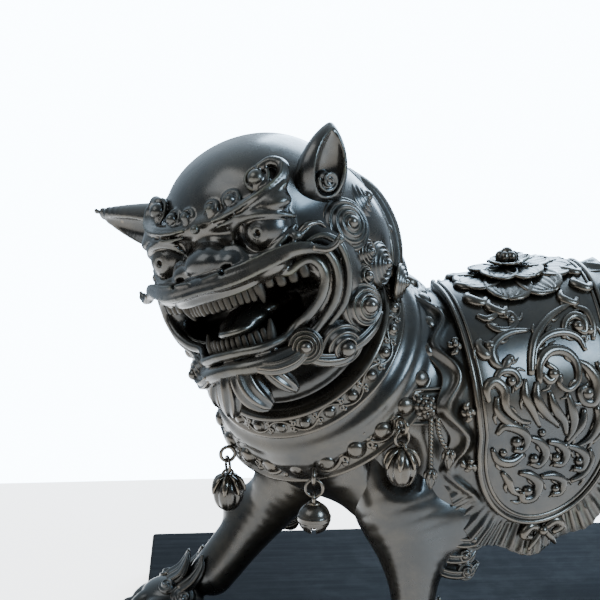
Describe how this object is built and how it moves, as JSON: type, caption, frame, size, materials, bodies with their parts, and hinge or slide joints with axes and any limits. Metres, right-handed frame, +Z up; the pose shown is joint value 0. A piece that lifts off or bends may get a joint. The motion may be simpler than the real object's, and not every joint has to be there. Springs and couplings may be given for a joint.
{
  "type": "guardian lion statue",
  "caption": "Cast bronze foo dog walking on a lacquered plinth, head turned, with relief saddle cloth, flower boss, collars and hanging crotal bells that swing.",
  "frame": {"origin": "centre of the plinth's underside", "axes": "+Z up, -X the way the lion walks, -Y its left flank, which its head is turned toward"},
  "size_m": [0.3344, 0.2253, 0.2872],
  "materials": {
    "bronze_dark": "dark brown-black patina, satin",
    "bronze_warm": "brown patina worn to copper and gold on high points, satin gloss",
    "bronze_brassy": "thin patina rubbed to brassy yellow",
    "lacquered_wood": "black lacquer, semi-matte",
    "steel": "plain zinc-plated"
  },
  "bodies": {
    "lion": {"plinth": "lacquered_wood", "stud_front_left": "steel", "nut_front_left": "steel", "stud_front_right": "steel", "nut_front_right": "steel", "stud_hind_left": "steel", "nut_hind_left": "steel", "stud_hind_right": "steel", "nut_hind_right": "steel", "torso": "bronze_dark", "neck_spigot": "bronze_dark", "head": "bronze_warm", "ear_left": "bronze_dark", "ear_right": "bronze_dark", "tongue": "bronze_dark", "leg_front_left": "bronze_dark", "leg_front_right": "bronze_dark", "leg_hind_left": "bronze_dark", "leg_hind_right": "bronze_dark", "tail": "bronze_dark", "saddle_cloth": "bronze_dark", "saddle_panel": "bronze_warm", "peony_boss": "bronze_warm", "collar_outer": "bronze_warm", "collar_inner": "bronze_warm", "strap_left": "bronze_dark", "rosette_left": "bronze_brassy", "tassel_left_long": "bronze_warm", "tassel_left_short": "bronze_warm", "strap_right": "bronze_dark", "rosette_right": "bronze_brassy", "tassel_right_long": "bronze_warm", "tassel_right_short": "bronze_warm", "bell_right_eye": "bronze_brassy", "bell_centre_eye": "bronze_brassy", "bell_left_eye": "bronze_brassy"},
    "ring_right": {"bell_right_ring": "bronze_brassy"},
    "bell_right": {"bell_right_loop": "bronze_brassy", "bell_right_shell": "bronze_brassy"},
    "pellet_right": {"bell_right_pellet": "bronze_brassy"},
    "ring_centre": {"bell_centre_ring": "bronze_brassy"},
    "bell_centre": {"bell_centre_loop": "bronze_brassy", "bell_centre_shell": "bronze_brassy"},
    "pellet_centre": {"bell_centre_pellet": "bronze_brassy"},
    "ring_left": {"bell_left_ring": "bronze_brassy"},
    "bell_left": {"bell_left_loop": "bronze_brassy", "bell_left_shell": "bronze_brassy"},
    "pellet_left": {"bell_left_pellet": "bronze_brassy"}
  },
  "joints": [
    {"name": "ring_right_swing", "type": "hinge", "parent": "lion", "child": "ring_right", "pos_m": [-0.11598, -0.05528, 0.12259], "axis": [-0.9749, -0.2227, 0], "range_deg": [-25, 25]},
    {"name": "bell_right_swing", "type": "hinge", "parent": "ring_right", "child": "bell_right", "pos_m": [-0.11598, -0.05528, 0.11669], "axis": [0.2227, -0.9749, 0], "range_deg": [-45, 10]},
    {"name": "pellet_right_roll", "type": "hinge", "parent": "bell_right", "child": "pellet_right", "pos_m": [-0.11598, -0.05528, 0.10679], "axis": [0.2227, -0.9749, 0], "range_deg": [-30, 30]},
    {"name": "ring_centre_swing", "type": "hinge", "parent": "lion", "child": "ring_centre", "pos_m": [-0.07789, -0.09031, 0.12226], "axis": [-0.1504, -0.9886, 0], "range_deg": [-25, 25]},
    {"name": "bell_centre_swing", "type": "hinge", "parent": "ring_centre", "child": "bell_centre", "pos_m": [-0.07789, -0.09031, 0.11636], "axis": [0.9886, -0.1504, 0], "range_deg": [-45, 10]},
    {"name": "pellet_centre_roll", "type": "hinge", "parent": "bell_centre", "child": "pellet_centre", "pos_m": [-0.07789, -0.09031, 0.10646], "axis": [0.9886, -0.1504, 0], "range_deg": [-30, 30]},
    {"name": "ring_left_swing", "type": "hinge", "parent": "lion", "child": "ring_left", "pos_m": [-0.03948, -0.09572, 0.14649], "axis": [0.5279, -0.8493, 0], "range_deg": [-20, 10]},
    {"name": "bell_left_swing", "type": "hinge", "parent": "ring_left", "child": "bell_left", "pos_m": [-0.03948, -0.09572, 0.14059], "axis": [0.8493, 0.5279, 0], "range_deg": [-45, 10]},
    {"name": "pellet_left_roll", "type": "hinge", "parent": "bell_left", "child": "pellet_left", "pos_m": [-0.03948, -0.09572, 0.13069], "axis": [0.8493, 0.5279, 0], "range_deg": [-30, 30]}
  ]
}
